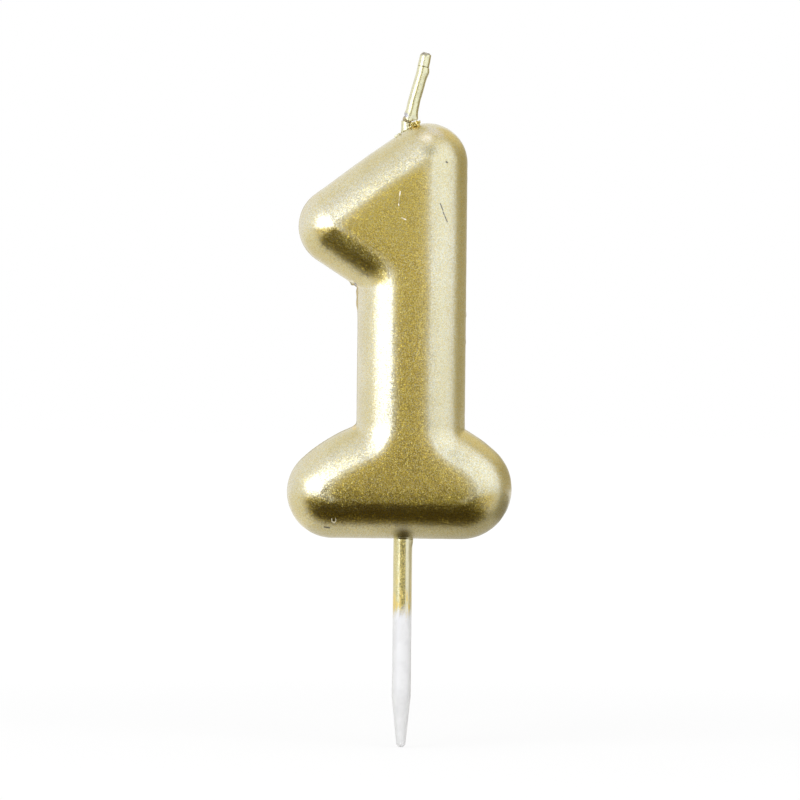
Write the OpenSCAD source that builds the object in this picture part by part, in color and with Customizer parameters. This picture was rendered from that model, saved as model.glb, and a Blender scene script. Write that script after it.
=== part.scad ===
// Number candle: a cast wax numeral one with a coated wick at its crown and a moulded pick under its foot.
// Millimetres. The origin is on the pick's axis at the foot's underside, +Z points up, the front faces -Y.

/* [Numeral] */
// Height of the wax, underside of the foot to the crown
numeral_h = 70; // [64:0.5:78]
// Depth of the wax, front face to back face; the edges are full half-rounds of this width
depth = 13.4; // [12:0.1:15]
// Width of the stem
stem_w = 18.2; // [17:0.1:21]
// Stem's centre line, to the right of the pick's axis
stem_x = 1.1; // [0.5:0.1:2]
// Reach of the flag past the stem's left side
flag_reach = 10.1; // [8:0.1:12]
// Fall of the flag's top edge towards its tip, in degrees
flag_slope = 36; // [33:0.1:40]
// Rise of the flag's lower edge towards its tip, in degrees
flag_undercut = 33; // [26:0.5:37]
// Radius in the three inner corners of the outline
corner_r = 0.4; // [0.3:0.05:1.2]

/* [Foot] */
// Width of the foot
foot_w = 37.8; // [34:0.1:44]
// Foot's centre line, to the left of the pick's axis
foot_shift = 0.7; // [0.3:0.1:1.5]
// Corner radius of the flat face at the foot's left end; the outline's radius is this and the edge together
corner_left_r = 1; // [0.8:0.1:2.5]
// Corner radius of the flat face at the foot's right end, which is the fuller one
corner_right_r = 1.8; // [0.8:0.1:2.5]
// Radius of the arched shoulder on each side of the stem
shoulder_r = 28; // [26:0.5:34]
// Distance of each shoulder's centre past the foot's centre line
shoulder_shift = 2.6; // [1:0.1:4]

/* [Wick] */
// Cotton wick's diameter
wick_d = 1.4; // [1.2:0.05:1.6]
// Wall of the hardened coat round the wick
coat_wall = 0.3; // [0.25:0.05:0.5]
// Height of the kink above the crown
kink_rise = 0.6; // [0.3:0.1:1.5]
// Length of the stub's coat, most of it below the wax surface
stub_coat_l = 3.4; // [2.5:0.1:5]
// Length of the wick's tail above the kink
tail_l = 11.6; // [8:0.1:16]
// Lean of the tail to the right at rest, in degrees
tail_lean = 14.5; // [5:0.5:25]
// Extra radius at the broken lower end of the tail's coat
flare = 0.25; // [0.1:0.05:0.3]
// Length of the coat piece above the crack
tip_coat_l = 2.2; // [1.5:0.1:4]
// Width of the crack
crack = 0.2; // [0.1:0.05:0.5]

/* [Pick] */
// Diameter of the pick's shaft
pick_d = 3.1; // [2.6:0.1:4]
// Length of the pick below the foot
pick_l = 35.2; // [30:0.1:45]
// Length of the taper at the pick's point
taper_l = 8.6; // [5:0.1:14]
// Diameter of the blunt point
point_d = 1.5; // [1.2:0.1:2]
// Length of the root inside the wax
root_l = 14; // [10:0.5:18]
// Diameter of the root
root_d = 2; // [1.6:0.1:2.4]
// Diameter of the root's two collars
collar_d = 2.8; // [2.6:0.1:3.4]

/* [Fits] */
// Gap between the wax and what is cast into it, and between the coat and the wick
cast_gap = 0.05; // [0.03:0.01:0.1]
// Running gap round the ball at the kink
kink_gap = 0.06; // [0.04:0.01:0.1]

/* [Hidden] */
$fn = 96;
edge_r = depth / 2;
stem_left = stem_x - stem_w / 2;
stem_right = stem_x + stem_w / 2;
foot_x = -foot_shift;
end_left_r = corner_left_r + edge_r;
end_right_r = corner_right_r + edge_r;
// Sweep of the half-round edge on each side of its middle, in degrees, and the steps it is made in
edge_sweep = 84;
edge_rows = 20;
turn_step = 9.5;

// Centres of the half-round edge at the crown and at the flag's tip
crown = [stem_right - edge_r, numeral_h - edge_r];
tip_x = stem_left - flag_reach + edge_r;
tip = [tip_x, crown.y - (crown.x - tip_x) * tan(flag_slope)];
// Height of the flag's lower edge at a given x
function flag_under(x) = tip.y - edge_r / cos(flag_undercut) - (x - tip.x) * tan(flag_undercut);
// Centres of the foot's ends and of its shoulders, right and left
end_right = [foot_x + foot_w / 2 - end_right_r, end_right_r];
end_left = [foot_x - foot_w / 2 + end_left_r, end_left_r];
function arch(x, end) = [x, end.y - sqrt(pow(shoulder_r - end.y, 2) - pow(end.x - x, 2))];
arch_right = arch(foot_x - shoulder_shift, end_right);
arch_left = arch(foot_x + shoulder_shift, end_left);
// Centres of the inner corners: under the flag, and where the stem meets each shoulder
notch_x = stem_left - corner_r;
notch = [notch_x, flag_under(notch_x) - corner_r / cos(flag_undercut)];
function corner_z(x, from) = from.y + sqrt(pow(shoulder_r + corner_r, 2) - pow(x - from.x, 2));
corner_left = [notch_x, corner_z(notch_x, arch_left)];
corner_right_x = stem_right + corner_r;
corner_right = [corner_right_x, corner_z(corner_right_x, arch_right)];
// Directions in which one run of the outline hands over to the next
function heading(from, to) = atan2(to.y - from.y, to.x - from.x);
end_turn_right = heading(arch_right, end_right);
end_turn_left = heading(arch_left, end_left);
arch_turn_right = heading(arch_right, corner_right);
arch_turn_left = heading(arch_left, corner_left);
// Hubs that the flat faces are fanned from
hubs = [
    crown,
    tip,
    [stem_x, tip.y],
    [stem_x, min(corner_left.y, corner_right.y)],
    end_left,
    end_right
];
hub_faces = [[0, 1, 2], [0, 2, 3], [3, 4, 5]];

wick_r = wick_d / 2;
coat_bore_r = wick_r + cast_gap;
coat_r = coat_bore_r + coat_wall;
kink_z = numeral_h + kink_rise;
ball_r = wick_r + 0.08;
socket_r = ball_r + kink_gap;
// Distances of the two coats from the kink, which leave room for the bend
stub_setback = coat_r * 0.6;
tail_setback = coat_r * 0.45;
flare_h = 1.2;
tip_coat_start = tail_l - tip_coat_l;
stub_coat_top = kink_z - stub_setback;
stub_coat_z = stub_coat_top - stub_coat_l;
wick_root_z = root_l + 1;

pick_r = pick_d / 2;
point_r = point_d / 2;
// Small flange at the root's lower end, let into the rounded underside of the foot
seat_r = pick_r + 0.2;
seat_h = 0.4;
collar_h = 1;
collars = [root_l * 0.45, root_l - collar_h];

gold = [0.72, 0.6, 0.28];
gold_coat = [0.78, 0.7, 0.45];
cotton = [0.55, 0.52, 0.44];
white = [0.93, 0.93, 0.93];

function polar(r, a) = [r * cos(a), r * sin(a)];

// One run of the outline: the edge's centre, the direction of its outer side and its hub at every step.
// A negative radius makes an inner corner. A run that follows on from another leaves out its first step.
function run(c, r, a0, a1, hub, first = 0) =
    let (n = ceil(abs(a1 - a0) / turn_step))
    [for (i = [first:n]) let (a = a0 + (a1 - a0) * i / n) [c + polar(r, a), a, hub]];

outline = concat(
    run(end_right, corner_right_r, -90, end_turn_right, 5),
    run(arch_right, shoulder_r - edge_r, end_turn_right, arch_turn_right, 5, 1),
    run(corner_right, -corner_r - edge_r, arch_turn_right, 0, 3, 1),
    run(crown, 0, 0, 90 + flag_slope, 0),
    run(tip, 0, 90 + flag_slope, 270 - flag_undercut, 1),
    run(notch, -corner_r - edge_r, 270 - flag_undercut, 180, 2),
    run(corner_left, -corner_r - edge_r, 180, arch_turn_left, 3),
    run(arch_left, shoulder_r - edge_r, arch_turn_left, end_turn_left, 4, 1),
    run(end_left, corner_left_r, end_turn_left, 270, 4, 1)
);

// Flat-faced slab with a half-round edge all the way round the outline
module slab() {
    n = len(outline);
    back = edge_rows * n;
    front_hub = back + n;
    back_hub = front_hub + len(hubs);
    rows = [for (k = [0:edge_rows]) edge_sweep * (2 * k / edge_rows - 1)];
    edge = [
        for (t = rows)
        for (s = outline)
        let (p = s[0] + polar(edge_r * cos(t), s[1]))
        [p.x, edge_r * sin(t) / sin(edge_sweep), p.y]
    ];
    hub_points = [for (side = [-1, 1]) for (h = hubs) [h.x, side * edge_r, h.y]];
    walls = [
        for (k = [0:edge_rows - 1])
        for (i = [0:n - 1])
        let (a = k * n + i, b = k * n + (i + 1) % n)
        each [[a, b, b + n], [a, b + n, a + n]]
    ];
    fronts = [
        for (i = [0:n - 1])
        let (j = (i + 1) % n, hi = front_hub + outline[i][2], hj = front_hub + outline[j][2])
        each hi == hj ? [[i, hi, j]] : [[i, hi, hj], [i, hj, j]]
    ];
    backs = [
        for (i = [0:n - 1])
        let (a = back + i, b = back + (i + 1) % n)
        let (ha = back_hub + outline[i][2], hb = back_hub + outline[(i + 1) % n][2])
        each ha == hb ? [[a, b, ha]] : [[a, hb, ha], [a, b, hb]]
    ];
    middles = [
        for (f = hub_faces)
        each [[for (i = [2, 1, 0]) front_hub + f[i]], [for (i = [0, 1, 2]) back_hub + f[i]]]
    ];
    polyhedron(concat(edge, hub_points), concat(walls, fronts, backs, middles));
}

// The pick's root and flange, grown by a gap for the hollow that they leave in the wax
module root(gap) {
    translate([0, 0, -gap])
        cylinder(r = seat_r + gap, h = seat_h + 2 * gap);
    cylinder(d = root_d + 2 * gap, h = root_l + gap);
    for (z = collars)
        translate([0, 0, z - gap])
            cylinder(d = collar_d + 2 * gap, h = collar_h + 2 * gap);
}

module wax_numeral() {
    color(gold)
        difference() {
            slab();
            root(cast_gap);
            translate([0, 0, wick_root_z - cast_gap])
                cylinder(r = coat_bore_r, h = numeral_h);
            translate([0, 0, stub_coat_z - cast_gap])
                cylinder(r = coat_r + cast_gap, h = numeral_h);
        }
}

module pick() {
    color(white) {
        root(0);
        rotate_extrude()
            intersection() {
                union() {
                    polygon([
                        [0, 0],
                        [pick_r, 0],
                        [pick_r, taper_l - pick_l],
                        [point_r, point_r - pick_l],
                        [0, point_r - pick_l]
                    ]);
                    translate([0, point_r - pick_l])
                        circle(point_r);
                }
                translate([0, -pick_l])
                    square([pick_d, pick_l]);
            }
    }
}

module wick_core() {
    color(cotton) {
        translate([0, 0, wick_root_z])
            cylinder(r = wick_r, h = kink_z - wick_root_z);
        translate([0, 0, kink_z])
            sphere(ball_r);
    }
}

// Sleeve round the wick with its lower and upper outer radius and the height of the change between them
module sleeve(z0, z1, r0, r1, change) {
    rotate_extrude()
        polygon([
            [coat_bore_r, z0],
            [r0, z0],
            [r1, z0 + change],
            [r1, z1],
            [coat_bore_r, z1]
        ]);
}

module wick_stub_coat() {
    color(gold_coat)
        sleeve(stub_coat_z, stub_coat_top, coat_r, coat_r - coat_wall / 3, stub_coat_l - 0.3);
}

// Places the tail's pieces, which are drawn upright with the kink at the origin
module on_tail() {
    translate([0, 0, kink_z])
        rotate([0, tail_lean, 0])
            children();
}

module wick_tail() {
    color(cotton)
        on_tail()
            difference() {
                cylinder(r = wick_r, h = tail_l);
                sphere(socket_r);
            }
}

module wick_tail_coat() {
    color(gold_coat)
        on_tail()
            sleeve(tail_setback, tip_coat_start - crack, coat_r + flare, coat_r, flare_h);
}

module wick_tip_coat() {
    color(gold_coat)
        on_tail()
            sleeve(tip_coat_start, tail_l, coat_r, coat_r - coat_wall / 2, tip_coat_l - 0.15);
}

wax_numeral();
pick();
wick_core();
wick_stub_coat();
wick_tail();
wick_tail_coat();
wick_tip_coat();
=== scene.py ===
"""Number candle: a cast wax numeral one in gold lacquer, with a coated wick at its crown and a pick below.

The shapes are worked out in millimetres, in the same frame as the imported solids, and turned into metres as
each mesh is made. The origin is on the pick's axis at the foot's underside, +Z points up and the front
faces -Y.
"""

import random
from math import acos, atan2, ceil, cos, degrees, exp, hypot, pi, radians, remainder, sin, sqrt, tan

import bmesh
import bpy
import numpy as np
from mathutils import Matrix, Vector, noise
from mathutils.geometry import delaunay_2d_cdt


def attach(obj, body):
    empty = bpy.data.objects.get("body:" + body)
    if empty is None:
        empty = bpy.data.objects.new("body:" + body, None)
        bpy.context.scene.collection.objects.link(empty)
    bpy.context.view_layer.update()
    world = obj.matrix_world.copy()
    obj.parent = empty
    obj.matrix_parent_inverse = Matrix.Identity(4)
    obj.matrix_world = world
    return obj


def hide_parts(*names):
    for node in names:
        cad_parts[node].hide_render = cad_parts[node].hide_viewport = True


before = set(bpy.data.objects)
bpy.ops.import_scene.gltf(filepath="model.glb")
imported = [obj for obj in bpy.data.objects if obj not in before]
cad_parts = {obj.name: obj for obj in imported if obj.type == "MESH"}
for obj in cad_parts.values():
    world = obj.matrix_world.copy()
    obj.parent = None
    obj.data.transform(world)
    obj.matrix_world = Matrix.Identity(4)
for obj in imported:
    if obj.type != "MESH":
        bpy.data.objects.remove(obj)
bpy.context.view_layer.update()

MM = 0.001
FULL_TURN = 2 * pi

# Sizes of the part, in millimetres and degrees, as in its source
DEPTH = 13.4
EDGE_R = DEPTH / 2
NUMERAL_H = 70.0
STEM_LEFT, STEM_RIGHT = -8.0, 10.2
FLAG_REACH, FLAG_SLOPE, FLAG_UNDERCUT = 10.1, 36.0, 33.0
CORNER_R = 0.4
FOOT_X, FOOT_W = -0.7, 37.8
CORNER_LEFT_R, CORNER_RIGHT_R = 1.0, 1.8
SHOULDER_R, SHOULDER_SHIFT = 28.0, 2.6
COAT_BORE_R, COAT_R = 0.75, 1.05
KINK = Vector((0.0, 0.0, 70.6))
TAIL_LEAN = radians(14.5)
TAIL_L, CRACK_AT = 11.6, 9.3
WICK_LOW, STUB_LOW, STUB_TOP = 14.95, 66.57, 69.97
PICK_R, PICK_L, TAPER_L, POINT_R = 1.55, 35.2, 8.6, 0.75
ROOT_R, ROOT_L, COLLAR_R, SEAT_R, SEAT_H = 1.0, 14.0, 1.4, 1.75, 0.4
CAST_GAP = 0.05

# How far in from the outline the wax rounds over into its face, a little more softly than a half circle
EDGE_RUN = 7.4

# Crumbs of flash and one nick on the mould line: place (x, z), reach and height, in millimetres
FLASH = (
    ((-8.0, 41.6), 0.9, 0.3), ((-8.0, 39.6), 1.1, 0.26),
    ((-8.0, 18.9), 0.5, 0.22), ((10.2, 37.8), 0.4, 0.1),
    ((-16.9, 51.0), 0.5, -0.16), ((10.2, 33.1), 0.3, 0.06),
    ((-8.95, 42.9), 0.35, 0.34),
)

# Marks on the front of the wax: from (x, z) to (x, z), and half their width, in millimetres
PALE_MARKS = (
    (-1.05, 58.1, -1.15, 57.5, 0.14), (-1.15, 57.5, -1.3, 56.0, 0.03),
    (-1.3, 56.0, -1.28, 55.8, 0.14), (-0.75, 53.75, -0.3, 53.55, 0.07),
    (-0.3, 53.55, -0.1, 53.45, 0.15), (-11.95, 3.35, -11.9, 2.9, 0.12),
    (-11.9, 2.9, -11.55, 2.65, 0.13), (-11.55, 2.65, -11.25, 2.95, 0.13),
    (-11.25, 2.95, -11.3, 3.4, 0.1), (-9.05, 43.2, -8.9, 43.0, 0.28),
)
DARK_MARKS = (
    (5.65, 56.2, 6.1, 55.1, 0.13), (6.15, 54.8, 6.35, 54.3, 0.13),
    (6.45, 54.1, 6.85, 53.2, 0.13), (6.6, 63.2, 6.75, 63.1, 0.2),
    (-13.15, 1.92, -12.35, 1.8, 0.2), (-11.65, 3.1, -11.6, 3.1, 0.2),
    (-8.5, 42.8, -8.35, 42.6, 0.25),
)
# A painted reflection of the pick, dark on the foot's front just above where the pick enters
PAINTED_PICK_REFLECTION = ((0.0, 0.9, 0.1, 0.1, 2.3),)
OCHRE_MARKS = ((0.5, 69.5, 1.5, 69.2, 0.9),)
RUBBED_MARKS = ((-8.5, 42.4, -8.5, 38.4, 0.62), (-8.6, 19.0, -8.4, 18.6, 0.5))


# Node helpers


def fill(node, sockets):
    """Links or sets a node's inputs. A colour is given as red, green and blue."""
    for key, value in sockets.items():
        socket = node.inputs[key]
        if isinstance(value, bpy.types.NodeSocket):
            node.id_data.links.new(value, socket)
        elif socket.type == "RGBA":
            socket.default_value = (*value, 1.0)
        else:
            socket.default_value = value


def put(kind, sockets=None, tree=None, **settings):
    """Adds a node to a tree, or to the one its inputs come from."""
    sockets = sockets or {}
    if tree is None:
        tree = next(v.id_data for v in sockets.values() if isinstance(v, bpy.types.NodeSocket))
    made = tree.nodes.new(kind)
    for key, value in settings.items():
        setattr(made, key, value)
    fill(made, sockets)
    return made


def maths(operation, a, b=0.0, clamp=False):
    return put("ShaderNodeMath", {0: a, 1: b}, operation=operation, use_clamp=clamp).outputs[0]


def times(a, b):
    return maths("MULTIPLY", a, b)


def vectors(operation, a, b=(0.0, 0.0, 0.0)):
    made = put("ShaderNodeVectorMath", {0: a, 1: b}, operation=operation)
    return made.outputs["Value" if operation in ("LENGTH", "DOT_PRODUCT", "DISTANCE") else "Vector"]


def scaled(vector, by):
    return put("ShaderNodeVectorMath", {0: vector, "Scale": by}, operation="SCALE").outputs[0]


def along_axis(vector, axis):
    return put("ShaderNodeSeparateXYZ", {0: vector}).outputs[axis]


def mixed(share, a, b):
    """Colour a turned into colour b by a share."""
    return put("ShaderNodeMix", {0: share, 6: a, 7: b}, data_type="RGBA").outputs[2]


def blended(share, a, b):
    """Number a turned into number b by a share."""
    return put("ShaderNodeMix", {0: share, 2: a, 3: b}, data_type="FLOAT").outputs[0]


def stretched(value, low, high, to_low=0.0, to_high=1.0):
    """A value's place between two limits, eased at both, as a number between two others."""
    sockets = {0: value, 1: low, 2: high, 3: to_low, 4: to_high}
    return put("ShaderNodeMapRange", sockets, interpolation_type="SMOOTHSTEP").outputs[0]


def clouds(place, scale, detail=2.0, rough=0.5):
    sockets = {"Vector": place, "Scale": scale, "Detail": detail, "Roughness": rough}
    return put("ShaderNodeTexNoise", sockets).outputs[0]


def drawn_out(place, scale, detail, rough=0.5):
    """Clouds whose scale differs along x, y and z."""
    place = put("ShaderNodeMapping", {"Vector": place, "Scale": scale}).outputs[0]
    return clouds(place, 1.0, detail, rough)


def cells(place, scale):
    """A chance colour for each small cell of the surface."""
    sockets = {"Vector": place, "Scale": scale, "Randomness": 1.0}
    return put("ShaderNodeTexVoronoi", sockets).outputs["Color"]


def bumped(strength, height):
    sockets = {"Strength": strength, "Distance": MM, "Height": height}
    return put("ShaderNodeBump", sockets).outputs[0]


def grey(value):
    return (value, value, value)


def new_finish(name):
    """A material, its shader and its place in millimetres."""
    finish = bpy.data.materials.new(name)
    finish.use_nodes = True
    tree = finish.node_tree
    shader = next(n for n in tree.nodes if n.type == "BSDF_PRINCIPLED")
    place = put("ShaderNodeTexCoord", tree=tree).outputs["Object"]
    return finish, shader, scaled(place, 1 / MM)


def bare_finish(name):
    """A material that has no nodes yet."""
    finish = bpy.data.materials.new(name)
    finish.use_nodes = True
    finish.node_tree.nodes.clear()
    return finish, finish.node_tree


def new_group(name, kind, inputs, output):
    """A node tree, with inputs and one output by name and kind, and its input sockets."""
    tree = bpy.data.node_groups.new(name, kind)
    for label, what in inputs.items():
        tree.interface.new_socket(label, in_out="INPUT", socket_type="NodeSocket" + what)
    tree.interface.new_socket(output[0], in_out="OUTPUT", socket_type="NodeSocket" + output[1])
    return tree, put("NodeGroupInput", tree=tree).outputs


def scratch_group():
    """How far inside a scratch between two points a place on the front lies, up to 1 at its middle."""
    inputs = {"Place": "Vector", "From": "Vector", "To": "Vector", "Half Width": "Float"}
    tree, given = new_group("scratch", "ShaderNodeTree", inputs, ("Mark", "Float"))
    face = vectors("MULTIPLY", given["Place"], (1.0, 0.0, 1.0))
    along = vectors("SUBTRACT", given["To"], given["From"])
    out = vectors("SUBTRACT", face, given["From"])
    reach = vectors("DOT_PRODUCT", out, along)
    share = maths("DIVIDE", reach, vectors("DOT_PRODUCT", along, along), clamp=True)
    gap = vectors("DISTANCE", out, scaled(along, share))
    near = maths("SUBTRACT", 1.0, maths("DIVIDE", gap, given["Half Width"]), clamp=True)
    front = maths("LESS_THAN", along_axis(given["Place"], "Y"), 0.0)
    put("NodeGroupOutput", {"Mark": times(near, front)})
    return tree


def scratch(place, start, end, half):
    group = bpy.data.node_groups.get("scratch") or scratch_group()
    sockets = {"Place": place, "From": start, "To": end, "Half Width": half}
    return put("ShaderNodeGroup", sockets, node_tree=group).outputs["Mark"]


def marks(place, segments):
    """Several scratches on the front as one."""
    total = None
    for x, z, end_x, end_z, half in segments:
        one = scratch(place, (x, 0.0, z), (end_x, 0.0, end_z), half)
        total = one if total is None else maths("MAXIMUM", total, one)
    return total


# Finishes


def flaked_gold(place, tone, pale, grain, stray=1.0):
    """Colour and tilt of the fine metal flakes. Most lie between the two tones, and a share of them stray to
    orange, dull grey and yellow. The yellow ones lean more."""
    flakes = cells(place, grain)
    chance = put("ShaderNodeSeparateColor", {0: flakes}).outputs
    orange = maths("LESS_THAN", chance[1], 0.25)
    dull = maths("GREATER_THAN", chance[2], 0.8)
    yellow = maths("GREATER_THAN", chance[1], 0.82)
    body = mixed(chance[0], tone, pale)
    for some, share, colour in (
        (orange, 0.6, (0.56, 0.36, 0.02)),
        (dull, 0.6, (0.42, 0.39, 0.18)),
        (yellow, 0.5, (0.82, 0.6, 0.05)),
    ):
        body = mixed(times(some, share * stray), body, colour)
    tilt = vectors("SUBTRACT", flakes, (0.5, 0.5, 0.5))
    return body, scaled(tilt, blended(yellow, 1.0, 1.0 + 0.9 * stray))


def tilted(normal, tilt, amount):
    """A surface direction with each flake leaning its own way."""
    return vectors("NORMALIZE", vectors("ADD", normal, scaled(tilt, amount)))


def lacquer_finish():
    """Gold lacquer sprayed over the wax: fine flakes under a clear gloss, with handling marks, painted shade
    on the faces and undersides, a paler painted highlight on the other edges and a painted reflection of the
    pick.
    """
    finish, shader, place = new_finish("gold_lacquer_on_wax")
    # Painted light: the faces and the undersides are painted a deep gold, as painted shade, and the other
    # edges a paler gold, as painted highlight
    depth = maths("ABSOLUTE", along_axis(place, "Y"))
    lean = put("ShaderNodeAttribute", tree=shader.id_data, attribute_name="lean").outputs["Fac"]
    # The undersides get the painted shade too, by how far the skin leans down
    under = times(stretched(lean, -0.02, -0.14), stretched(depth, 4.4, 6.0))
    painted_shade_share = maths("MINIMUM", maths("ADD", stretched(depth, 6.55, 6.66), under), 1.0)
    tone = mixed(painted_shade_share, (0.64, 0.59, 0.33), (0.25, 0.172, 0.009))
    pale = mixed(painted_shade_share, (0.73, 0.68, 0.41), (0.63, 0.455, 0.046))
    body, tilt = flaked_gold(place, tone, pale, 9.5)
    drift = stretched(clouds(place, 0.09, 3.0), 0.35, 0.7, 0.0, 0.25)
    body = mixed(drift, body, (0.46, 0.36, 0.04))

    painted_pick_reflection, ochre = marks(place, PAINTED_PICK_REFLECTION), marks(place, OCHRE_MARKS)
    rubbed = marks(place, RUBBED_MARKS)
    bright, dark = marks(place, PALE_MARKS), marks(place, DARK_MARKS)
    # Painted reflection of the pick: the foot's front is painted near black just above it
    body = mixed(stretched(painted_pick_reflection, 0.0, 1.0, 0.0, 0.85), body, (0.1, 0.07, 0.006))
    body = mixed(times(ochre, 0.8), body, (0.82, 0.58, 0.08))
    body = mixed(stretched(rubbed, 0.0, 0.4), body, (0.72, 0.52, 0.1))
    body = mixed(stretched(bright, 0.0, 0.6), body, (0.88, 0.81, 0.56))
    body = mixed(stretched(dark, 0.0, 0.6, 0.0, 0.95), body, (0.06, 0.045, 0.012))

    peel = times(clouds(place, 0.75, 3.0, 0.55), 0.05)
    normal = bumped(0.25, maths("SUBTRACT", peel, times(dark, 0.05)))
    worn = maths("MAXIMUM", bright, rubbed)
    fill(shader, {
        "Base Color": body,
        "Metallic": stretched(worn, 0.0, 0.8, 1.0, 0.4),
        "Roughness": stretched(clouds(place, 0.4, 4.0), 0.3, 0.75, 0.31, 0.35),
        "Normal": tilted(normal, tilt, 0.22),
        "Coat Weight": 1.0, "Coat Roughness": 0.24, "Coat IOR": 1.85,
    })
    return finish


def coat_finish(name, tone, pale):
    """Hardened gold coat on the wick: paler than the wax, worn grey in patches, with a painted reflection as
    a dark streak down its front.
    """
    finish, shader, place = new_finish(name)
    body, tilt = flaked_gold(place, tone, pale, 8.0, 0.15)
    worn = stretched(clouds(place, 1.3, 4.0, 0.6), 0.56, 0.7)
    body = mixed(times(worn, 0.35), body, (0.46, 0.42, 0.32))
    # A painted reflection as a dark streak down the tail's front, a dark rim round its cut end and a graze
    # at the kink
    for stretch in ((0.8, 5.4), (5.4, 9.2)):
        ends = [tail_point(tail_axis(s) - 0.1 + 0.03 * sin(s), 0.0, s) for s in stretch]
        painted_dark_streak = stretched(scratch(place, *ends, 0.34), 0.0, 0.9, 0.0, 0.65)
        body = mixed(painted_dark_streak, body, (0.4, 0.34, 0.1))
    rim = stretched(along_axis(place, "Z"), 81.3, 81.75)
    rim = times(rim, stretched(clouds(place, 2.6, 2.0), 0.4, 0.5))
    body = mixed(times(rim, 0.85), body, (0.2, 0.16, 0.13))
    ends = [tail_point(-0.75, 0.0, 0.75), tail_point(-0.3, 0.0, 0.55)]
    graze = stretched(scratch(place, *ends, 0.5), 0.0, 0.6, 0.0, 0.8)
    body = mixed(graze, body, (0.42, 0.39, 0.35))
    normal = bumped(0.2, times(clouds(place, 2.2, 3.0), 0.05))
    fill(shader, {
        "Base Color": body,
        "Metallic": 1.0,
        "Roughness": blended(worn, 0.3, 0.42),
        "Normal": tilted(normal, tilt, 0.05),
        "Coat Weight": 0.7, "Coat Roughness": 0.22, "Coat IOR": 1.6,
    })
    return finish


def cotton_finish(name, dark, light, stain):
    """Waxed cotton yarn, stained where it is cut or crushed."""
    finish, shader, place = new_finish(name)
    strands = drawn_out(place, (9.0, 9.0, 1.6), 4.0, 0.6)
    stained = stretched(clouds(place, 1.4, 3.0), 0.5, 0.65, 0.0, 0.6)
    body = mixed(stretched(strands, 0.35, 0.65), dark, light)
    fill(shader, {
        "Base Color": mixed(stained, body, stain),
        "Roughness": stretched(strands, 0.3, 0.7, 0.6, 0.85),
        "Normal": bumped(0.6, times(strands, 0.12)),
        "Sheen Weight": 0.15,
    })
    return finish


def pick_finish():
    """White moulded plastic whose upper third caught the gold spray, with painted shade down its front and
    back and right under the foot, and a painted highlight on its right side.
    """
    finish, shader, place = new_finish("white_plastic_with_overspray")
    across, height = along_axis(place, "X"), along_axis(place, "Z")
    off_middle = maths("ABSOLUTE", across)
    runs = drawn_out(place, (2.4, 2.4, 0.25), 3.0)
    broad = drawn_out(place, (0.9, 0.9, 0.3), 2.0)
    fine = clouds(place, 4.0, 3.0, 0.65)
    # The spray ends in a ragged edge with dust below it, and is worn thin in places above it
    runs_shift = times(maths("SUBTRACT", runs, 0.5), 3.6)
    fine_shift = times(maths("SUBTRACT", fine, 0.5), 1.3)
    edge = maths("ADD", height, maths("ADD", runs_shift, fine_shift))
    specks = maths("GREATER_THAN", clouds(place, 7.0, 2.0), 0.58)
    dust = times(stretched(edge, -14.0, -12.2, 0.0, 0.5), specks)
    sprayed = maths("MAXIMUM", stretched(edge, -13.5, -11.2), dust)
    patches = maths("ADD", broad, times(runs, 0.6))
    thin = times(stretched(edge, -5.0, -9.5), stretched(patches, 0.8, 0.92))
    # It is grainy and rougher down the front and back, and smooth at the sides; the grainy band is also
    # painted a darker gold, as painted shade
    body, tilt = flaked_gold(place, (0.6, 0.54, 0.23), (0.76, 0.69, 0.36), 7.0, 0.4)
    painted_shade_share = stretched(off_middle, 0.58, 0.4)
    grains = put("ShaderNodeSeparateColor", {0: cells(place, 7.5)}).outputs[0]
    grainy = mixed(grains, (0.22, 0.17, 0.035), (0.85, 0.67, 0.16))
    # Painted highlight: the gold is painted paler towards the right side
    body = mixed(stretched(across, -0.2, 0.8, 0.0, 0.5), body, (0.93, 0.87, 0.6))
    gold = mixed(times(painted_shade_share, 0.8), body, grainy)
    gold = mixed(times(thin, 0.85), gold, (0.8, 0.6, 0.16))
    # Painted shade: its front and back are painted dark in the middle, right under the foot
    painted_junction_shade = stretched(height, -0.2, -0.02, 0.0, 0.8)
    painted_junction_shade = times(stretched(off_middle, 1.1, 0.4), painted_junction_shade)
    gold = mixed(painted_junction_shade, gold, (0.09, 0.065, 0.015))
    cloudy = stretched(clouds(place, 0.5, 3.0), 0.4, 0.65)
    plastic = mixed(cloudy, grey(0.84), grey(0.79))
    relief = times(clouds(place, 1.6, 3.0), 0.03)
    relief = maths("ADD", times(sprayed, 0.02), relief)
    leaning = times(sprayed, blended(painted_shade_share, 0.06, 0.3))
    fill(shader, {
        "Base Color": mixed(sprayed, plastic, gold),
        "Metallic": times(sprayed, blended(thin, 1.0, 0.55)),
        "Roughness": blended(times(sprayed, painted_shade_share), 0.36, 0.5),
        "Normal": tilted(bumped(0.3, relief), tilt, leaning),
        "Specular IOR Level": 0.35,
        "Coat Weight": 0.3, "Coat Roughness": 0.18, "Coat IOR": 1.6,
    })
    return finish


# Meshes


def turned_out(mesh):
    """Merges a mesh's doubled points, turns its faces outwards and shades it smooth."""
    shape = bmesh.new()
    shape.from_mesh(mesh)
    bmesh.ops.remove_doubles(shape, verts=shape.verts, dist=1e-8)
    bmesh.ops.recalc_face_normals(shape, faces=shape.faces)
    shape.to_mesh(mesh)
    shape.free()
    mesh.shade_smooth()


def in_metres(points):
    return [tuple(MM * c for c in p) for p in points]


def make_object(name, mesh):
    made = bpy.data.objects.new(name, mesh)
    bpy.context.scene.collection.objects.link(made)
    return made


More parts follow.
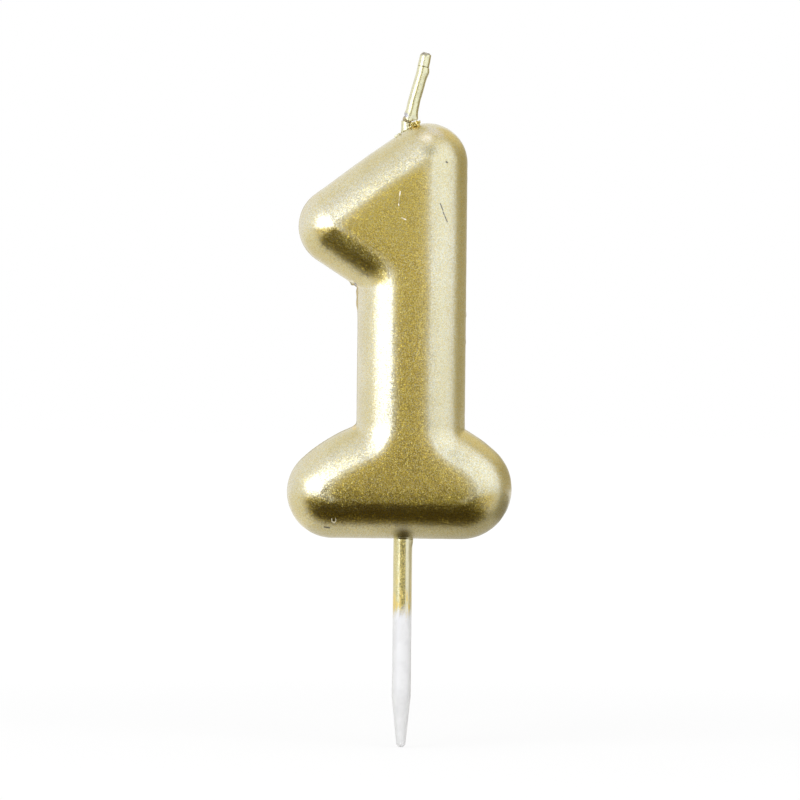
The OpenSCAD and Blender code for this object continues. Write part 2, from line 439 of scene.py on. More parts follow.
def make_mesh(name, points, faces, finish):
    """An object at the origin with its points given in millimetres."""
    mesh = bpy.data.meshes.new(name)
    mesh.from_pydata(in_metres(points), [], [tuple(int(i) for i in f) for f in faces])
    turned_out(mesh)
    if finish:
        mesh.materials.append(finish)
    return make_object(name, mesh)


def settle(piece):
    """Turns what the modifiers make into the piece's own plain mesh."""
    ready = bpy.context.evaluated_depsgraph_get()
    mesh = bpy.data.meshes.new_from_object(piece.evaluated_get(ready))
    old = piece.data
    piece.modifiers.clear()
    piece.data = mesh
    bpy.data.meshes.remove(old)


def lathe_points(profile, sides):
    """Points and faces of a turned shape from (radius, height) steps that start and end on the axis."""
    points, faces, rows = [], [], []
    for r, z in profile:
        if r < 1e-9:
            rows.append([len(points)])
            points.append((0.0, 0.0, z))
        else:
            rows.append(list(range(len(points), len(points) + sides)))
            for i in range(sides):
                a = FULL_TURN * i / sides
                points.append((r * cos(a), r * sin(a), z))
    for low, high in zip(rows, rows[1:]):
        for i in range(sides):
            j = (i + 1) % sides
            if len(low) == 1:
                faces.append((low[0], high[i], high[j]))
            elif len(high) == 1:
                faces.append((low[i], low[j], high[0]))
            else:
                faces.append((low[i], low[j], high[j], high[i]))
    return points, faces


def cut_away(piece, cutter):
    """Takes the cutter's shape out of the piece."""
    cut = piece.modifiers.new("cut", "BOOLEAN")
    cut.operation = "DIFFERENCE"
    cut.solver = "EXACT"
    cut.object = cutter
    settle(piece)
    mesh = cutter.data
    bpy.data.objects.remove(cutter)
    bpy.data.meshes.remove(mesh)


# Wax numeral


def heading(start, end):
    """Direction from one point to another, in degrees."""
    return degrees(atan2(end[1] - start[1], end[0] - start[0]))


def outline_runs():
    """The outline's arcs, counter-clockwise from the front: centre (x, z), radius, start and end in degrees.
    An inner corner's radius is below zero, and straight edges join the arcs."""
    slope, undercut = radians(FLAG_SLOPE), radians(FLAG_UNDERCUT)
    crown = np.array((STEM_RIGHT - EDGE_R, NUMERAL_H - EDGE_R))
    tip_x = STEM_LEFT - FLAG_REACH + EDGE_R
    tip = np.array((tip_x, crown[1] - (crown[0] - tip_x) * tan(slope)))
    end_right_r, end_left_r = CORNER_RIGHT_R + EDGE_R, CORNER_LEFT_R + EDGE_R
    end_right = np.array((FOOT_X + FOOT_W / 2 - end_right_r, end_right_r))
    end_left = np.array((FOOT_X - FOOT_W / 2 + end_left_r, end_left_r))

    def arch(x, end):
        return np.array((x, end[1] - sqrt((SHOULDER_R - end[1]) ** 2 - (end[0] - x) ** 2)))

    def inner(x, centre):
        return np.array((x, centre[1] + sqrt((SHOULDER_R + CORNER_R) ** 2 - (x - centre[0]) ** 2)))

    arch_right = arch(FOOT_X - SHOULDER_SHIFT, end_right)
    arch_left = arch(FOOT_X + SHOULDER_SHIFT, end_left)
    notch_x = STEM_LEFT - CORNER_R
    under = tip[1] - EDGE_R / cos(undercut) - (notch_x - tip[0]) * tan(undercut)
    notch = np.array((notch_x, under - CORNER_R / cos(undercut)))
    corner_right = inner(STEM_RIGHT + CORNER_R, arch_right)
    corner_left = inner(notch_x, arch_left)
    end_turn_right, arch_turn_right = heading(arch_right, end_right), heading(arch_right, corner_right)
    end_turn_left, arch_turn_left = heading(arch_left, end_left), heading(arch_left, corner_left)
    return [
        (end_right, end_right_r, -90, end_turn_right),
        (arch_right, SHOULDER_R, end_turn_right, arch_turn_right),
        (corner_right, -CORNER_R, arch_turn_right, 0),
        (crown, EDGE_R, 0, 90 + FLAG_SLOPE),
        (tip, EDGE_R, 90 + FLAG_SLOPE, 270 - FLAG_UNDERCUT),
        (notch, -CORNER_R, 270 - FLAG_UNDERCUT, 180),
        (corner_left, -CORNER_R, 180, arch_turn_left),
        (arch_left, SHOULDER_R, arch_turn_left, end_turn_left),
        (end_left, end_left_r, end_turn_left, 270),
    ]


def numeral_outline():
    """Places on the outline (x, z) and their outward directions."""
    arc_step, arc_turn, straight_step, same = 0.4, 3.5, 0.45, 1e-4
    places = []
    for centre, r, start, end in outline_runs():
        turn = abs(end - start)
        steps = max(ceil(radians(turn) * abs(r) / arc_step), ceil(turn / arc_turn), 2)
        for i in range(steps + 1):
            a = radians(start + (end - start) * i / steps)
            out = np.array((cos(a), sin(a)))
            places.append((centre + r * out, out))
    outline = []
    for (p, n), (q, _) in zip(places, places[1:] + places[:1]):
        outline.append((p, n))
        steps = int(np.linalg.norm(q - p) / straight_step)
        for i in range(1, steps):
            outline.append((p + (q - p) * i / steps, n))
    kept = [outline[0]]
    for p, n in outline[1:]:
        if np.linalg.norm(p - kept[-1][0]) > same:
            kept.append((p, n))
    if np.linalg.norm(kept[-1][0] - kept[0][0]) < same:
        kept.pop()
    return np.array([p for p, _ in kept]), np.array([n for _, n in kept])


def edge_height(inset):
    """Half depth of the wax at a distance in from the outline."""
    share = np.clip(1 - np.asarray(inset) / EDGE_RUN, 0, 1)
    return EDGE_R * np.sqrt(1 - share**2)


def bump_at(p, centre, reach, height):
    """Height at a place of a round bump."""
    gap = np.linalg.norm(np.asarray(p) - np.asarray(centre))
    return height * exp(-((gap / reach) ** 2))


def points_inside(points, loop):
    """Which points lie inside a closed loop."""
    inside = np.zeros(len(points), bool)
    x, z = points[:, 0], points[:, 1]
    for (x0, z0), (x1, z1) in zip(loop, np.roll(loop, -1, axis=0)):
        if z0 == z1:
            continue
        crosses = (z0 > z) != (z1 > z)
        inside ^= crosses & (x < x0 + (z - z0) * (x1 - x0) / (z1 - z0))
    return inside


def face_field(outline, inner, inset, height):
    """The face inside its rounded edge: points (x, z), the inner loop first, half depths and triangles."""
    count, step, clear, batch = len(inner), 0.62, 0.35, 64
    low, high = inner.min(0), inner.max(0)
    grid = [
        (x + (0.5 * step if row % 2 else 0), z)
        for row, z in enumerate(np.arange(low[1], high[1], step * 0.87))
        for x in np.arange(low[0], high[0], step)
    ]
    grid = np.array(grid)
    gap = np.full(len(grid), np.inf)
    for start in range(0, len(outline), batch):
        some = outline[None, start : start + batch]
        gap = np.minimum(gap, np.linalg.norm(grid[:, None] - some, axis=2).min(1))
    keep = points_inside(grid, inner) & (gap > inset + clear)
    field = np.concatenate([inner, grid[keep]])
    depths = np.concatenate([np.full(count, height), edge_height(gap[keep])])
    edges = [(i, (i + 1) % count) for i in range(count)]
    _, _, triangles, origin, _, _ = delaunay_2d_cdt([Vector(p) for p in field], edges, [], 1, 1e-7)
    triangles = [[origin[i][0] for i in t] for t in triangles]
    near = [set() for _ in field]
    for t in triangles:
        for i in t:
            near[i].update(j for j in t if j != i)
    near = [list(s) for s in near]
    # Smoothed, so that the edges run softly together
    for _ in range(14):
        depths[count:] = [0.5 * depths[i] + 0.5 * np.mean(depths[near[i]]) for i in range(count, len(field))]
    return field, depths, triangles


def wavy(point):
    """A point of the cast skin, which is never dead flat."""
    x, y, z = point
    side = 1.0 if y > 0 else -1.0
    swell = 0.022 * noise.noise(Vector((x * 0.11, side * 3.0, z * 0.11)))
    swell += 0.006 * noise.noise(Vector((x * 0.45, side * 5.0, z * 0.45)))
    return x, y + side * swell * min(1.0, abs(y) / 4.0), z


def numeral_piece(finish):
    """The cast numeral: rounded edges that run into two faces, a mould line and casting faults."""
    outline, outward = numeral_outline()
    count = len(outline)
    # A slight bow along the flag's top edge and a few crumbs of flash on the mould line
    bow, flash = np.zeros(count), np.full(count, 0.03)
    for i, (x, z) in enumerate(outline):
        if -14 < x < 0 and outward[i][1] > 0.7 and z > 55:
            bow[i] += 0.12 * sin(pi * (x + 14) / 14) ** 2
        flash[i] += 0.025 * noise.noise(Vector((x * 0.7, 0.0, z * 0.7)))
        flash[i] += sum(bump_at((x, z), *crumb) for crumb in FLASH)
    outline = outline + outward * bow[:, None]

    # Rings from the mould line in to where the face begins
    rings, face_inset = 26, 6.0
    angles = np.linspace(0, acos(1 - face_inset / EDGE_RUN), rings + 1)
    insets = EDGE_RUN * (1 - np.cos(angles))
    heights = EDGE_R * np.sin(angles)
    points = []
    for inset, y in zip(insets, heights):
        ring = outline - outward * inset
        if inset == 0:
            ring = outline + outward * flash[:, None]
        points += [(x, -y, z) for x, z in ring]
    inner = outline - outward * insets[-1]
    field, depths, triangles = face_field(outline, inner, insets[-1], heights[-1])
    points += [(field[i][0], -depths[i], field[i][1]) for i in range(count, len(field))]
    front, first_face = len(points), rings * count
    faces = []
    for k in range(0, first_face, count):
        for i in range(count):
            j = (i + 1) % count
            faces.append((k + i, k + j, k + count + j, k + count + i))
    faces += [tuple(first_face + i for i in t) for t in triangles]

    # The back is the front's mirror image and shares its mould line
    def back_index(i):
        return i if i < count else front + i - count

    points += [(x, -y, z) for x, y, z in points[count:]]
    faces += [tuple(back_index(i) for i in reversed(f)) for f in faces[:]]
    piece = make_mesh("wax_numeral_cast", [wavy(p) for p in points], faces, finish)

    # Hollows for the pick's root and for the wick
    below, above = -2.0, NUMERAL_H + 4.0
    seat_r, root_r, stub_r = SEAT_R + CAST_GAP, ROOT_R + CAST_GAP, COAT_R + CAST_GAP
    seat_top, root_top, stub_low = SEAT_H + CAST_GAP, ROOT_L + CAST_GAP, STUB_LOW - CAST_GAP
    hollow = [(0, below), (seat_r, below), (seat_r, seat_top)]
    hollow += [(root_r, seat_top), (root_r, root_top), (0, root_top)]
    cut_away(piece, make_mesh("root_hollow", *lathe_points(hollow, 64), None))
    hollow = [(0, WICK_LOW), (COAT_BORE_R, WICK_LOW), (COAT_BORE_R, stub_low)]
    hollow += [(stub_r, stub_low), (stub_r, above), (0, above)]
    cut_away(piece, make_mesh("wick_hollow", *lathe_points(hollow, 48), None))
    # How far the skin leans up or down at each point, which the finish reads
    lean = piece.data.attributes.new("lean", "FLOAT", "POINT")
    lean.data.foreach_set("value", [v.normal.z for v in piece.data.vertices])
    return piece


# Pick


def pick_profile():
    """Radius and height of the pick from its point up to the top of its root."""
    point_steps, taper_steps, shaft_steps, bevel, collar_h = 10, 30, 105, 0.05, 1.0
    profile = [(0.0, -PICK_L)]
    for i in range(1, point_steps):
        a = radians(90 * i / point_steps)
        profile.append((POINT_R * sin(a), -PICK_L + POINT_R * (1 - cos(a))))
    for i in range(taper_steps + 1):
        share = i / taper_steps
        r = POINT_R + (PICK_R - POINT_R) * share
        profile.append((r, -PICK_L + POINT_R + (TAPER_L - POINT_R) * share))
    profile += [(PICK_R, z) for z in np.linspace(TAPER_L - PICK_L, -bevel, shaft_steps)[1:]]
    profile += [(PICK_R, 0.0), (SEAT_R - bevel, 0.0), (SEAT_R, bevel)]
    profile += [(SEAT_R, SEAT_H - bevel), (SEAT_R - bevel, SEAT_H), (ROOT_R, SEAT_H)]
    for low in (ROOT_L * 0.45, ROOT_L - collar_h):
        top = low + collar_h
        profile += [(ROOT_R, low), (COLLAR_R - bevel, low), (COLLAR_R, low + bevel)]
        profile += [(COLLAR_R, top - bevel), (COLLAR_R - bevel, top)]
        if top < ROOT_L:
            profile.append((ROOT_R, top))
    return profile + [(0.0, ROOT_L)]


def pick_growth(r, a, z):
    """How far the pick's skin stands out at a radius, turn and height below the foot."""
    grow = 0.012 * noise.noise(Vector((r * cos(a) * 0.9, r * sin(a) * 0.9, z * 0.35)))
    # The mould line down both sides
    for side in (0.0, pi):
        gap = abs(remainder(a - side, FULL_TURN)) * r
        grow += 0.035 * exp(-((gap / 0.09) ** 2))
    # Spray gathered in soft runs on the upper third, and one bead at the right under the foot
    spray_low = -13
    if z > spray_low:
        runs = noise.noise(Vector((cos(a) * 1.9, sin(a) * 1.9, z * 0.16)))
        grow += 0.045 * max(0.0, runs) * min(1.0, (z - spray_low) / 2)
    across, up = remainder(a + 0.2, FULL_TURN) * r, z + 0.3
    return grow + 0.2 * exp(-((across / 0.6) ** 2 + (up / 0.8) ** 2))


def pick_piece(finish):
    """Moulded pick: root and flange in the wax, a plain shaft, and a tapered, rounded point."""
    points, faces = lathe_points(pick_profile(), 96)
    shaped = []
    for x, y, z in points:
        r = hypot(x, y)
        if z < -0.02 and r > 0.3:
            grow = pick_growth(r, atan2(y, x), z)
            x, y = x * (r + grow) / r, y * (r + grow) / r
        shaped.append((x, y, z))
    return make_mesh("pick_moulded", shaped, faces, finish)


# Wick


def moved_out(shape, rise, finish):
    """Moves a shape's skin out by a rise and gives it its finish."""
    out = scaled(put("GeometryNodeInputNormal", tree=rise.id_data).outputs[0], rise)
    shape = put("GeometryNodeSetPosition", {"Geometry": shape, "Offset": out}).outputs[0]
    return put("GeometryNodeSetMaterial", {"Geometry": shape, "Material": finish}).outputs[0]


def along_path_tree():
    """Geometry Nodes: a round skin along a path, as wide as the path says, with soft lumps."""
    inputs = {"Path": "Geometry", "Sides": "Int", "Closed Ends": "Bool", "Lump Height": "Float"}
    inputs.update({"Lumps per Metre": "Float", "Seed": "Float", "Finish": "Material"})
    tree, given = new_group("skin_along_path", "GeometryNodeTree", inputs, ("Skin", "Geometry"))
    line = put("GeometryNodeMeshToCurve", {"Mesh": given["Path"]}).outputs[0]
    sockets = {"Name": "half_width"}
    width = put("GeometryNodeInputNamedAttribute", sockets, tree, data_type="FLOAT").outputs[0]
    sockets = {"Resolution": given["Sides"], "Radius": 1.0}
    ring = put("GeometryNodeCurvePrimitiveCircle", sockets).outputs[0]
    sockets = {"Curve": line, "Profile Curve": ring, "Scale": width, "Fill Caps": given["Closed Ends"]}
    skin = put("GeometryNodeCurveToMesh", sockets).outputs[0]
    sockets = {"W": given["Seed"], "Scale": given["Lumps per Metre"], "Detail": 2.0}
    lumps = put("ShaderNodeTexNoise", sockets, noise_dimensions="4D").outputs[0]
    rise = times(maths("SUBTRACT", lumps, 0.5), given["Lump Height"])
    put("NodeGroupOutput", {"Skin": moved_out(skin, rise, given["Finish"])})
    return tree


def crumbs_tree():
    """Geometry Nodes: broken crumbs of coat on points, each turned and sized by chance."""
    inputs = {"Points": "Geometry", "Size": "Float", "Seed": "Int", "Finish": "Material"}
    tree, given = new_group("crumbs_on_points", "GeometryNodeTree", inputs, ("Crumbs", "Geometry"))

    def chance(low, high):
        sockets = {0: low, 1: high, "Seed": given["Seed"]}
        return put("FunctionNodeRandomValue", sockets, data_type="FLOAT_VECTOR").outputs[0]

    crumb = put("GeometryNodeMeshIcoSphere", {"Radius": given["Size"], "Subdivisions": 2}).outputs[0]
    turn = chance((0.0, 0.0, 0.0), (6.28, 6.28, 6.28))
    size = chance((0.5, 0.35, 0.25), (1.5, 0.9, 0.55))
    sockets = {"Points": given["Points"], "Instance": crumb, "Rotation": turn, "Scale": size}
    placed = put("GeometryNodeInstanceOnPoints", sockets).outputs[0]
    placed = put("GeometryNodeRealizeInstances", {0: placed}).outputs[0]
    rough = put("ShaderNodeTexNoise", {"Scale": 5200.0, "Detail": 1.0}, tree).outputs[0]
    rise = times(maths("SUBTRACT", rough, 0.5), times(given["Size"], 0.9))
    put("NodeGroupOutput", {"Crumbs": moved_out(placed, rise, given["Finish"])})
    return tree


def grown(name, points, edges, tree, finish, half_widths=None, **sizes):
    """A piece that a Geometry Nodes tree makes on a path or on points."""
    mesh = bpy.data.meshes.new(name)
    mesh.from_pydata(in_metres(points), edges, [])
    if half_widths is not None:
        width = mesh.attributes.new("half_width", "FLOAT", "POINT")
        width.data.foreach_set("value", [MM * w for w in half_widths])
    piece = make_object(name, mesh)
    make = piece.modifiers.new("make", "NODES")
    make.node_group = tree
    for key, value in {"Finish": finish, **sizes}.items():
        make[tree.interface.items_tree[key.replace("_", " ")].identifier] = value
    settle(piece)
    spare = piece.data.attributes.get("half_width")
    if spare:
        piece.data.attributes.remove(spare)
    if not piece.data.materials:
        piece.data.materials.append(finish)
    return piece


def tail_axis(along):
    """Sideways drift of the tail from a straight line, where the wick was bent and sprang back."""
    places = [0.0, 0.45, 1.25, 3.2, 5.6, 7.8, 9.6, 11.25, 12.0]
    drift = [0.22, 0.34, 0.4, 0.31, 0.33, 0.4, 0.3, 0.22, 0.2]
    return float(np.interp(along, places, drift))


def tail_point(across, depth, along):
    """A point of the tail from its place across, in depth and along the leaning axis."""
    x = across * cos(TAIL_LEAN) + along * sin(TAIL_LEAN)
    z = -across * sin(TAIL_LEAN) + along * cos(TAIL_LEAN)
    return KINK + Vector((x, depth, z))


def tail_place(point):
    """Place across, in depth and along the tail's drifting axis of a point in millimetres."""
    p = Vector(point) - KINK
    across = p.x * cos(TAIL_LEAN) - p.z * sin(TAIL_LEAN)
    along = p.x * sin(TAIL_LEAN) + p.z * cos(TAIL_LEAN)
    return across - tail_axis(along), p.y, along


def round_noise(a, scale, seed):
    """Noise round a piece at an angle, the same after a full turn."""
    return noise.noise(Vector((cos(a) * scale, sin(a) * scale, seed)))


def crack_edge(a):
    """How far the crack's edge wanders along the wick at an angle round it."""
    return 0.05 * round_noise(a, 2.0, 1.0)


def coat_sleeve(name, tree, finish, path, widths, lumps, move, thickness):
    """A sleeve of coat round a path: a lumpy skin, each point moved by a rule, with a wall inwards.
    Lumps are their height in metres, their number to the metre and a seed."""
    edges = [(i, i + 1) for i in range(len(path) - 1)]
    height, number, seed = lumps
    piece = grown(
        name, path, edges, tree, finish, widths,
        Sides=48, Closed_Ends=False, Lump_Height=height, Lumps_per_Metre=number, Seed=seed,
    )
    for v in piece.data.vertices:
        v.co = Vector(move(v.co / MM)) * MM
    turned_out(piece.data)
    wall = piece.modifiers.new("wall", "SOLIDIFY")
    wall.thickness = thickness * MM
    wall.offset = -1.0
    wall.use_even_offset = True
    settle(piece)
    piece.data.shade_smooth()
    return piece


def tail_coat_piece(tree, finish):
    """Coat of the tail below the crack: flared and ragged where it broke from the stub."""
    low_end, torn, near_crack, crack_gap = 0.5, 1.2, 0.47, 0.03
    steps = np.linspace(low_end, CRACK_AT - crack_gap, 74)
    path = [tail_point(tail_axis(s), 0.0, s) for s in steps]
    widths = [COAT_R + 0.12 * exp(-(((s - low_end) / 0.8) ** 2)) - 0.09 * s / TAIL_L for s in steps]

    def move(p):
        u, v, w = tail_place(p)
        a = atan2(v, u)
        right, back = cos(a), sin(a)
        low = min(1.0, max(0.0, 1 - (w - low_end) / torn))
        if low > 0:
            # The broken edge hangs low in front and stays high at both sides, and flares out at the right
            edge = 0.025 - 0.15 * right + 0.275 * back + 0.7 * right**2
            edge += 0.08 * round_noise(a, 1.6, 4.0)
            edge += 0.06 * round_noise(a, 4.2, 9.0)
            w += low * (edge - low_end)
            wing = exp(-((remainder(a + 0.25, FULL_TURN) / 0.4) ** 2))
            u += low**1.5 * 0.22 * wing * right
            v += low**1.5 * 0.22 * wing * back
        # A soft swelling at the right under the crack
        u += 0.16 * max(0.0, right) * exp(-(((w - 8.5) / 0.7) ** 2))
        high = max(0.0, (w - (CRACK_AT - crack_gap - near_crack)) / near_crack)
        w += high * (crack_edge(a) - crack_gap * (0.5 + 0.5 * right))
        return tail_point(u + tail_axis(w), v, w)

    lumps = (0.00014, 480.0, 3.0)
    return coat_sleeve("wick_tail_coat_skin", tree, finish, path, widths, lumps, move, 0.2)


def tip_coat_piece(tree, finish):
    """Coat above the crack, drawn in round the cut end of the wick."""
    near_top, near_crack = 0.75, 0.47
    steps = np.linspace(CRACK_AT, TAIL_L, 30)
    path = [tail_point(tail_axis(s), 0.0, s) for s in steps]
    widths = [0.975 - 0.02 * (s - CRACK_AT) for s in steps]

    def move(p):
        u, v, w = tail_place(p)
        a = atan2(v, u)
        top = max(0.0, (w - (TAIL_L - near_top)) / near_top)
        left = 0.5 - 0.5 * cos(a)
        drawn = 1 - (0.03 + 0.27 * left) * top**2.6
        u, v = u * drawn, v * drawn
        w -= top * (0.12 * (1 - left) + 0.05 * left)
        w += top * 0.07 * round_noise(a, 2.5, 6.0)
        w += max(0.0, 1 - (w - CRACK_AT) / near_crack) * crack_edge(a)
        return tail_point(u + tail_axis(w) - 0.04, v, w)

    lumps = (0.00012, 560.0, 8.0)
    return coat_sleeve("wick_tip_coat_skin", tree, finish, path, widths, lumps, move, 0.2)


def stub_coat_piece(tree, finish):
    """Torn sleeve of coat left standing on the crown."""
    torn_from, torn = 69.2, 0.9
    steps = np.linspace(STUB_LOW, STUB_TOP + 0.12, 40)
    path = [Vector((0.0, 0.0, z)) for z in steps]
    widths = [1.02 + 0.04 * exp(-(((z - 68.6) / 0.5) ** 2)) for z in steps]

    def move(p):
        x, y, z = p
        a = atan2(y, x)
        top = max(0.0, (z - torn_from) / torn)
        teeth = round_noise(a, 2.2, 2.0) + 0.6 * round_noise(a, 5.0, 7.0)
        left = 0.5 - 0.5 * cos(a)
        return x, y, z + top * (0.1 * teeth + 0.33 * left - 0.45 * (1 - left))

    lumps = (0.00014, 800.0, 5.0)
    return coat_sleeve("wick_stub_coat_skin", tree, finish, path, widths, lumps, move, 0.22)


def tail_yarn_piece(tree, finish):
    """Twisted yarn inside the tail, its cut end showing at the tip: five strands round a middle one."""
    strands, turns, reach, strand_r, middle_r = 5, 3.2, 0.4, 0.255, 0.2
    steps = np.linspace(0.86, TAIL_L - 0.02, 90)
    points, edges, widths = [], [], []
    for k in range(strands + 1):
        off, half = (0.0, middle_r) if k == strands else (reach, strand_r)
        start = len(points)
        for s in steps:
            a = FULL_TURN * (k / strands + turns * (s - steps[0]) / (steps[-1] - steps[0]))
            points.append(tail_point(tail_axis(s) + off * cos(a), off * sin(a), s))
            widths.append(half)
        edges += [(start + i, start + i + 1) for i in range(len(steps) - 1)]
    return grown(
        "wick_tail_yarn", points, edges, tree, finish, widths,
        Sides=12, Closed_Ends=True, Lump_Height=0.00005, Lumps_per_Metre=1500.0, Seed=2.0,
    )


def on_crown(x, y, lift):
    """A point on the wax by the wick, lifted a little, from its place across and in depth."""
    slope_x, slope_z = -0.44, 68.8
    if x < slope_x:
        edge = slope_z + (x - slope_x) * tan(radians(FLAG_SLOPE))
    else:
        edge = NUMERAL_H - EDGE_R + sqrt(EDGE_R**2 - (x - STEM_RIGHT + EDGE_R) ** 2)
    return x, y, edge - EDGE_R + sqrt(EDGE_R**2 - y * y) + lift


def crumb_piece(tree, finish):
    """Crumbs of broken coat lying on the crown round the stub, most of them at its left."""
    chance, reach = random.Random(11), 1.18
    spots = [on_crown(chance.uniform(-2.0, -0.9), chance.uniform(-1.6, 0.7), 0.03) for _ in range(16)]
    for _ in range(8):
        a = chance.uniform(-2.6, -1.1)
        spots.append(on_crown(reach * cos(a), reach * sin(a), 0.05))
    return grown("coat_crumbs", spots, [], tree, finish, Size=0.00021, Seed=4)


def shard_piece(tree, finish):
    """Torn shards of coat on the crown before and behind the wick, clear of its tail as it bends."""
    chance = random.Random(5)
    spots = []
    for number, across, depth, lift in (
        (9, (0.4, 2.0), (-2.0, -1.75), 0.12),
        (8, (0.8, 2.1), (-1.9, -1.75), 0.5),
        (6, (0.6, 1.9), (1.75, 2.0), 0.12),
    ):
        spots += [on_crown(chance.uniform(*across), chance.uniform(*depth), lift) for _ in range(number)]
    return grown("coat_shards", spots, [], tree, finish, Size=0.00036, Seed=9)


# Stage


def towards(turn, rise):
    """Direction from the object, turned from the camera's side and raised, in degrees."""
    a, e = radians(turn), radians(rise)
    return Vector((sin(a) * cos(e), -cos(a) * cos(e), sin(e)))


def glossy_only(panel):
    """Lets only reflections see a panel."""
    panel.visible_camera = False
    panel.visible_diffuse = False
    panel.visible_shadow = False
    panel.visible_transmission = False


def glow(tree, colour, strength=1.0):
    made = put("ShaderNodeEmission", {"Color": colour, "Strength": strength}, tree)
    put("ShaderNodeOutputMaterial", {"Surface": made.outputs[0]})


def floor_card(name, corners, height, colour):
    """A card lying on the floor."""
    finish, tree = bare_finish(name)
    glow(tree, colour)
    points = [(x, y, height) for x, y in corners]
    glossy_only(make_mesh(name, points, [tuple(range(len(points)))], finish))


def card(name, turn, rise, reach, colour, strength=1.0, warm=None, spot=None, low=None):
    """A curved reflector panel, spread over an angle across and up from the camera's side. It can turn to a
    warm colour towards the camera. A spot (turn, rise, inner angle, outer angle, strength) is a brighter or
    darker place on it, and low (lower rise, upper rise, share) fades it towards the floor."""
    middle, across, up = Vector((0.0, 0.0, 0.03)), 16, 10
    warm_from, warm_full = cos(radians(15)), cos(radians(6))
    points, faces = [], []
    for j in range(up + 1):
        height = rise[0] + (rise[1] - rise[0]) * j / up
        for i in range(across + 1):
            way = towards(turn[0] + (turn[1] - turn[0]) * i / across, height)
            points.append((middle + way * reach) / MM)
    for j in range(up):
        for i in range(across):
            k = j * (across + 1) + i
            faces.append((k, k + 1, k + across + 2, k + across + 1))
    finish, tree = bare_finish(name)
    place = put("ShaderNodeTexCoord", tree=tree).outputs["Object"]
    way = vectors("NORMALIZE", vectors("SUBTRACT", place, middle))
    if spot:
        near = vectors("DOT_PRODUCT", way, towards(*spot[:2]))
        outer, inner = (cos(radians(angle)) for angle in (spot[3], spot[2]))
        strength = stretched(near, outer, inner, strength, spot[4])
    if low:
        under, over = (sin(radians(angle)) for angle in low[:2])
        risen = stretched(along_axis(way, "Z"), under, over, low[2], 1.0)
        strength = times(risen, strength)
    if warm:
        forward = vectors("DOT_PRODUCT", way, towards(0, 0))
        colour = mixed(stretched(forward, warm_from, warm_full), colour, warm)
    glow(tree, colour, strength)
    glossy_only(make_mesh(name, points, faces, finish))


def lamp(name, turn, rise, reach, size, power):
    """A soft lamp that lights matt surfaces only."""
    light = bpy.data.lights.new(name, "AREA")
    light.shape = "RECTANGLE"
    light.size, light.size_y = size
    light.energy = power
    rig = make_object(name, light)
    spot = towards(turn, rise) * reach
    rig.matrix_world = Matrix.Translation(spot) @ spot.to_track_quat("Z", "Y").to_matrix().to_4x4()
    rig.visible_glossy = False
    rig.visible_camera = False


def seen_share(tree):
    """1 for what the camera, gloss and clear things see, 0 for light on matt surfaces."""
    path = put("ShaderNodeLightPath", tree=tree).outputs
    seen = maths("MAXIMUM", path["Is Camera Ray"], path["Is Glossy Ray"])
    return maths("MAXIMUM", seen, path["Is Transmission Ray"])


def surroundings(floor_z):
    """White surroundings and a pale floor that keeps the shadow."""
    world = bpy.data.worlds.new("studio")
    bpy.context.scene.world = world
    world.use_nodes = True
    tree = world.node_tree
    tree.nodes.clear()
    strength = blended(seen_share(tree), 0.27, 1.0)
    sky = put("ShaderNodeBackground", {"Color": grey(1.0), "Strength": strength})
    put("ShaderNodeOutputWorld", {"Surface": sky.outputs[0]})

    finish, tree = bare_finish("pale_floor")
    place = put("ShaderNodeTexCoord", tree=tree).outputs["Object"]
    flat = vectors("MULTIPLY", place, (1.0, 1.0, 0.0))
    far = stretched(vectors("LENGTH", flat), 0.05, 0.26, 0.86, 1.0)
    share = times(seen_share(tree), far)
    matt = put("ShaderNodeBsdfDiffuse", {"Color": grey(0.9)}, tree)
    white = put("ShaderNodeEmission", {"Color": grey(1.0), "Strength": 1.02}, tree)
    both = put("ShaderNodeMixShader", {0: share, 1: matt.outputs[0], 2: white.outputs[0]})
    put("ShaderNodeOutputMaterial", {"Surface": both.outputs[0]})
    reach = 6000.0
    corners = [(-reach, -reach), (reach, -reach), (reach, reach), (-reach, reach)]
    make_mesh("floor", [(x, y, floor_z) for x, y in corners], [(0, 1, 2, 3)], finish)


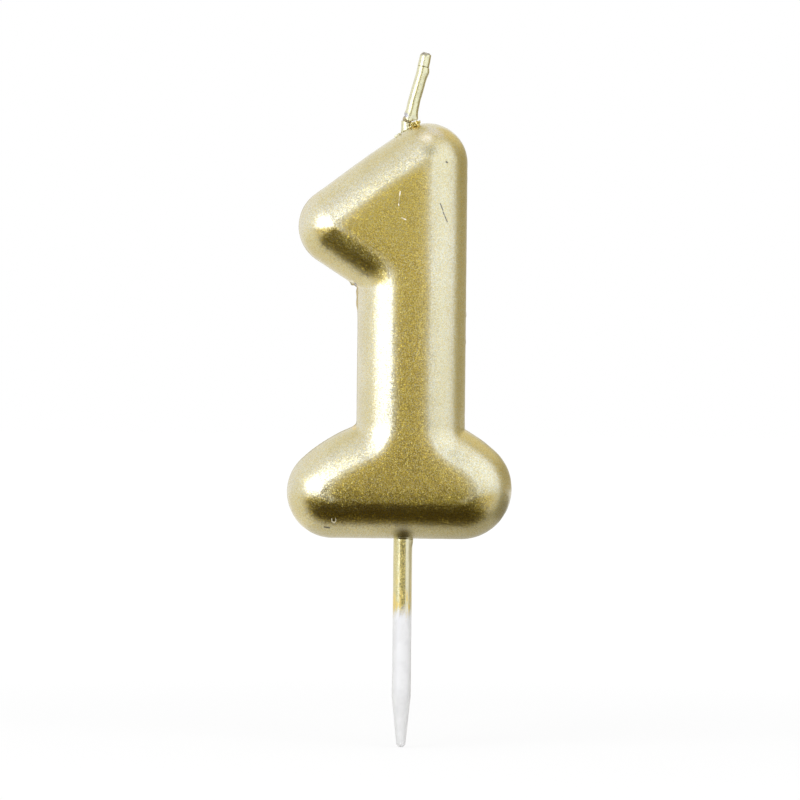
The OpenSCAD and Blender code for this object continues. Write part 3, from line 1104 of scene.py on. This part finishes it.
def reflectors(floor_z):
    """What the gold mirrors."""
    # From below: a dark card before the part, and cards under it that darken to the right
    top = floor_z + 0.5
    corners = [(-80, -560), (80, -560), (110, -260), (68, -80), (54, -7.5), (8, -7.5)]
    corners += [(0, -12.5), (-57, -12.5), (-70, -24), (-150, -62), (-150, -260)]
    floor_card("dark_card", corners, top + 0.1, (0.05, 0.037, 0.01))
    for name, low, high, colour in (
        ("under_card_far_left", -240, -40, (0.95, 0.92, 0.84)),
        ("under_card_left", -40, 5, (0.74, 0.72, 0.67)),
        ("under_card_middle", 5, 60, (0.54, 0.52, 0.46)),
        ("under_card_right", 60, 700, (0.3, 0.28, 0.22)),
    ):
        floor_card(name, [(low, -12), (high, -12), (high, 260), (low, 260)], top, colour)

    # From the sides and above
    card("front_panel", (-6, 4.5), (-8, 15), 0.52, (1.0, 0.72, 0.1), 0.05)
    card(
        "left_panel", (-76, -5.5), (-9, 55), 0.5, (0.9, 0.97, 1.36), 1.08,
        warm=(1.6, 1.38, 0.78), spot=(-42, 4, 17, 28, 5.0), low=(-9, 5, 0.03),
    )
    card("left_back_panel", (-135, -77), (-4, 50), 0.5, (1.08, 1.12, 1.38))
    card(
        "right_panel", (4, 87), (-9, 50), 0.5, (1.38, 1.5, 1.98),
        warm=(2.1, 1.88, 1.25), spot=(11, 40, 8, 17, 0.22), low=(-9, -1, 0.2),
    )
    card("right_back_panel", (89, 160), (-4, 61), 0.5, (0.48, 0.42, 0.25), spot=(143, 48, 8, 34, 1.9))
    card("back_panel", (163, 197), (-8, 15), 0.52, (1.0, 0.85, 0.5), 0.4)
    card(
        "top_panel", (-6, 4.5), (15, 62), 0.51, (0.86, 0.88, 1.0),
        warm=(0.86, 0.73, 0.28), spot=(4, 38, 7, 16, 0.3),
    )
    card("overhead_panel", (-90, 30), (62, 118), 0.5, (1.02, 1.06, 1.46), spot=(-2, 76, 4, 13, 2.3))
    card("overhead_right_panel", (31, 90), (62, 118), 0.5, (0.76, 0.7, 0.53))


def camera():
    """A camera square to the front and a touch rolled, as the photograph's is."""
    aim = Vector((-0.733, 0.0, 23.32)) * MM
    reach, width_seen, sensor = 0.7, 0.13484, 36.0
    roll = radians(0.6)
    look = Vector((0.0, 1.0, 0.0))
    up = Vector((-sin(roll), 0.0, cos(roll)))
    place = Matrix((look.cross(up), up, -look)).transposed().to_4x4()
    place.translation = aim - look * reach
    eye = bpy.data.cameras.new("camera")
    eye.sensor_width = sensor
    eye.lens = sensor * reach / width_seen
    eye.clip_start, eye.clip_end = 0.05, 30.0
    rig = make_object("camera", eye)
    rig.matrix_world = place
    bpy.context.scene.camera = rig


def studio():
    """Everything round the part."""
    floor_z = -PICK_L - 0.1
    surroundings(floor_z)
    reflectors(floor_z)
    lamp("left_lamp", -46, 35, 0.7, (0.45, 0.6), 2.75)
    lamp("right_lamp", 40, 30, 0.7, (0.45, 0.6), 1.9)
    lamp("top_lamp", 0, 80, 0.8, (0.6, 0.6), 1.8)
    camera()
    bpy.context.scene.view_settings.view_transform = "Standard"


# Assembly

studio()

lacquer, plastic = lacquer_finish(), pick_finish()
coat = coat_finish("gold_coat_on_wick", (0.62, 0.57, 0.28), (0.72, 0.67, 0.36))
torn = coat_finish("torn_gold_coat", (0.42, 0.32, 0.06), (0.8, 0.65, 0.18))
cotton = cotton_finish("waxed_cotton", (0.2, 0.17, 0.11), (0.44, 0.4, 0.3), (0.13, 0.115, 0.09))
crushed = cotton_finish("crushed_cotton", (0.3, 0.22, 0.08), (0.55, 0.47, 0.26), (0.5, 0.46, 0.36))
skin, crumbs = along_path_tree(), crumbs_tree()

for piece, body, node, slot in (
    (numeral_piece(lacquer), "candle", "wax_numeral", "gold_lacquered_wax"),
    (pick_piece(plastic), "candle", "pick", "white_plastic"),
    (stub_coat_piece(skin, coat), "candle", "wick_stub_coat", "gold_wick_coat"),
    (crumb_piece(crumbs, coat), "candle", None, "gold_wick_coat"),
    (shard_piece(crumbs, torn), "candle", None, "gold_wick_coat"),
    (tail_coat_piece(skin, coat), "wick_tail", "wick_tail_coat", "gold_wick_coat"),
    (tip_coat_piece(skin, coat), "wick_tail", "wick_tip_coat", "gold_wick_coat"),
    (tail_yarn_piece(skin, cotton), "wick_tail", "wick_tail", "cotton_wick"),
):
    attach(piece, body)
    if node:
        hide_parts(node)

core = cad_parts["wick_core"]
core.data.materials.clear()
core.data.materials.append(crushed)

bpy.context.view_layer.update()
